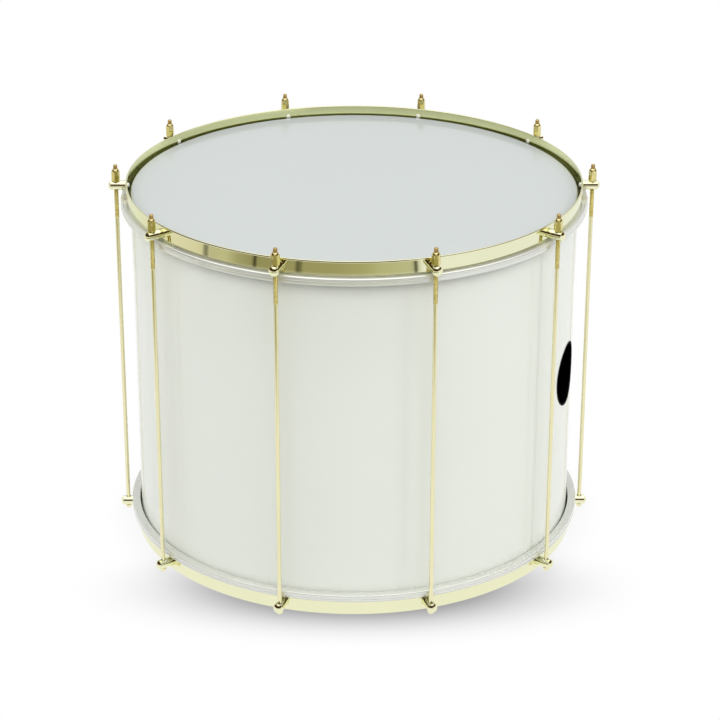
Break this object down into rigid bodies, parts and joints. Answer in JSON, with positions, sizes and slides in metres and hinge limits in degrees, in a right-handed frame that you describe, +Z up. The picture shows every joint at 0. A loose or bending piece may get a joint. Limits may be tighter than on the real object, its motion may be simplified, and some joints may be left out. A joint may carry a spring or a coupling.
{
  "type": "surdo drum",
  "caption": "Large bass drum: white tubular shell, film head at each end, flat metal counterhoops drawn together by full-length tension rods with tuning nuts; a round port in its side.",
  "frame": {"origin": "middle of the floor face under the lower counterhoop", "axes": "+Z up along the drum's axis, -Y to the front of the picture, midway between two lugs, +X to its right"},
  "size_m": [0.5592, 0.5338, 0.4362],
  "materials": {
    "shell_lacquer": "glossy white lacquer over rolled aluminium sheet",
    "film": "smooth milky polyester drum film, satin sheen",
    "bare_aluminium": "satin extruded aluminium with a fine turned groove",
    "gold_plate": "polished pale gold plating over steel",
    "rod_plate": "pale gold plating over steel rod, cut thread at the upper end",
    "port_rubber": "matt black rubber edge trim"
  },
  "bodies": {
    "lower_rim": {"bottom_hoop": "gold_plate", "bottom_flesh_hoop": "bare_aluminium", "bottom_post_01": "gold_plate", "bottom_post_02": "gold_plate", "bottom_post_03": "gold_plate", "bottom_post_04": "gold_plate", "bottom_post_05": "gold_plate", "bottom_post_06": "gold_plate", "bottom_post_07": "gold_plate", "bottom_post_08": "gold_plate", "bottom_post_09": "gold_plate", "bottom_post_10": "gold_plate", "tension_rod_01": "rod_plate", "tension_rod_02": "rod_plate", "tension_rod_03": "rod_plate", "tension_rod_04": "rod_plate", "tension_rod_05": "rod_plate", "tension_rod_06": "rod_plate", "tension_rod_07": "rod_plate", "tension_rod_08": "rod_plate", "tension_rod_09": "rod_plate", "tension_rod_10": "rod_plate"},
    "drum_shell": {"shell": "shell_lacquer", "port_trim": "port_rubber", "top_head": "film", "bottom_head": "film"},
    "upper_rim": {"top_hoop": "gold_plate", "top_flesh_hoop": "bare_aluminium", "top_post_01": "gold_plate", "top_post_02": "gold_plate", "top_post_03": "gold_plate", "top_post_04": "gold_plate", "top_post_05": "gold_plate", "top_post_06": "gold_plate", "top_post_07": "gold_plate", "top_post_08": "gold_plate", "top_post_09": "gold_plate", "top_post_10": "gold_plate"},
    "nut_01": {"tuning_nut_01": "gold_plate"},
    "nut_02": {"tuning_nut_02": "gold_plate"},
    "nut_03": {"tuning_nut_03": "gold_plate"},
    "nut_04": {"tuning_nut_04": "gold_plate"},
    "nut_05": {"tuning_nut_05": "gold_plate"},
    "nut_06": {"tuning_nut_06": "gold_plate"},
    "nut_07": {"tuning_nut_07": "gold_plate"},
    "nut_08": {"tuning_nut_08": "gold_plate"},
    "nut_09": {"tuning_nut_09": "gold_plate"},
    "nut_10": {"tuning_nut_10": "gold_plate"}
  },
  "joints": [
    {"name": "upper_rim_travel", "type": "slide", "parent": "lower_rim", "child": "upper_rim", "axis": [0, 0, 1], "range_m": [-0.003, 0.002]},
    {"name": "shell_travel", "type": "slide", "parent": "lower_rim", "child": "drum_shell", "axis": [0, 0, 1], "range_m": [-0.0015, 0.001]},
    {"name": "nut_turn_01", "type": "hinge", "parent": "upper_rim", "child": "nut_01", "pos_m": [0.08377, -0.25782, 0.4155], "axis": [0, 0, 1], "range_deg": [-1351, 901]},
    {"name": "nut_turn_02", "type": "hinge", "parent": "upper_rim", "child": "nut_02", "pos_m": [0.21932, -0.15934, 0.4155], "axis": [0, 0, 1], "range_deg": [-1351, 901]},
    {"name": "nut_turn_03", "type": "hinge", "parent": "upper_rim", "child": "nut_03", "pos_m": [0.27109, 0, 0.4155], "axis": [0, 0, 1], "range_deg": [-1351, 901]},
    {"name": "nut_turn_04", "type": "hinge", "parent": "upper_rim", "child": "nut_04", "pos_m": [0.21932, 0.15934, 0.4155], "axis": [0, 0, 1], "range_deg": [-1351, 901]},
    {"name": "nut_turn_05", "type": "hinge", "parent": "upper_rim", "child": "nut_05", "pos_m": [0.08377, 0.25782, 0.4155], "axis": [0, 0, 1], "range_deg": [-1351, 901]},
    {"name": "nut_turn_06", "type": "hinge", "parent": "upper_rim", "child": "nut_06", "pos_m": [-0.08377, 0.25782, 0.4155], "axis": [0, 0, 1], "range_deg": [-1351, 901]},
    {"name": "nut_turn_07", "type": "hinge", "parent": "upper_rim", "child": "nut_07", "pos_m": [-0.21932, 0.15934, 0.4155], "axis": [0, 0, 1], "range_deg": [-1351, 901]},
    {"name": "nut_turn_08", "type": "hinge", "parent": "upper_rim", "child": "nut_08", "pos_m": [-0.27109, 0, 0.4155], "axis": [0, 0, 1], "range_deg": [-1351, 901]},
    {"name": "nut_turn_09", "type": "hinge", "parent": "upper_rim", "child": "nut_09", "pos_m": [-0.21932, -0.15934, 0.4155], "axis": [0, 0, 1], "range_deg": [-1351, 901]},
    {"name": "nut_turn_10", "type": "hinge", "parent": "upper_rim", "child": "nut_10", "pos_m": [-0.08377, -0.25782, 0.4155], "axis": [0, 0, 1], "range_deg": [-1351, 901]}
  ],
  "couplings": [
    {"joint": "shell_travel", "follows": "upper_rim_travel", "ratio": 0.5},
    {"joint": "nut_turn_01", "follows": "upper_rim_travel", "rad_per_m": 7854},
    {"joint": "nut_turn_02", "follows": "upper_rim_travel", "rad_per_m": 7854},
    {"joint": "nut_turn_03", "follows": "upper_rim_travel", "rad_per_m": 7854},
    {"joint": "nut_turn_04", "follows": "upper_rim_travel", "rad_per_m": 7854},
    {"joint": "nut_turn_05", "follows": "upper_rim_travel", "rad_per_m": 7854},
    {"joint": "nut_turn_06", "follows": "upper_rim_travel", "rad_per_m": 7854},
    {"joint": "nut_turn_07", "follows": "upper_rim_travel", "rad_per_m": 7854},
    {"joint": "nut_turn_08", "follows": "upper_rim_travel", "rad_per_m": 7854},
    {"joint": "nut_turn_09", "follows": "upper_rim_travel", "rad_per_m": 7854},
    {"joint": "nut_turn_10", "follows": "upper_rim_travel", "rad_per_m": 7854}
  ]
}
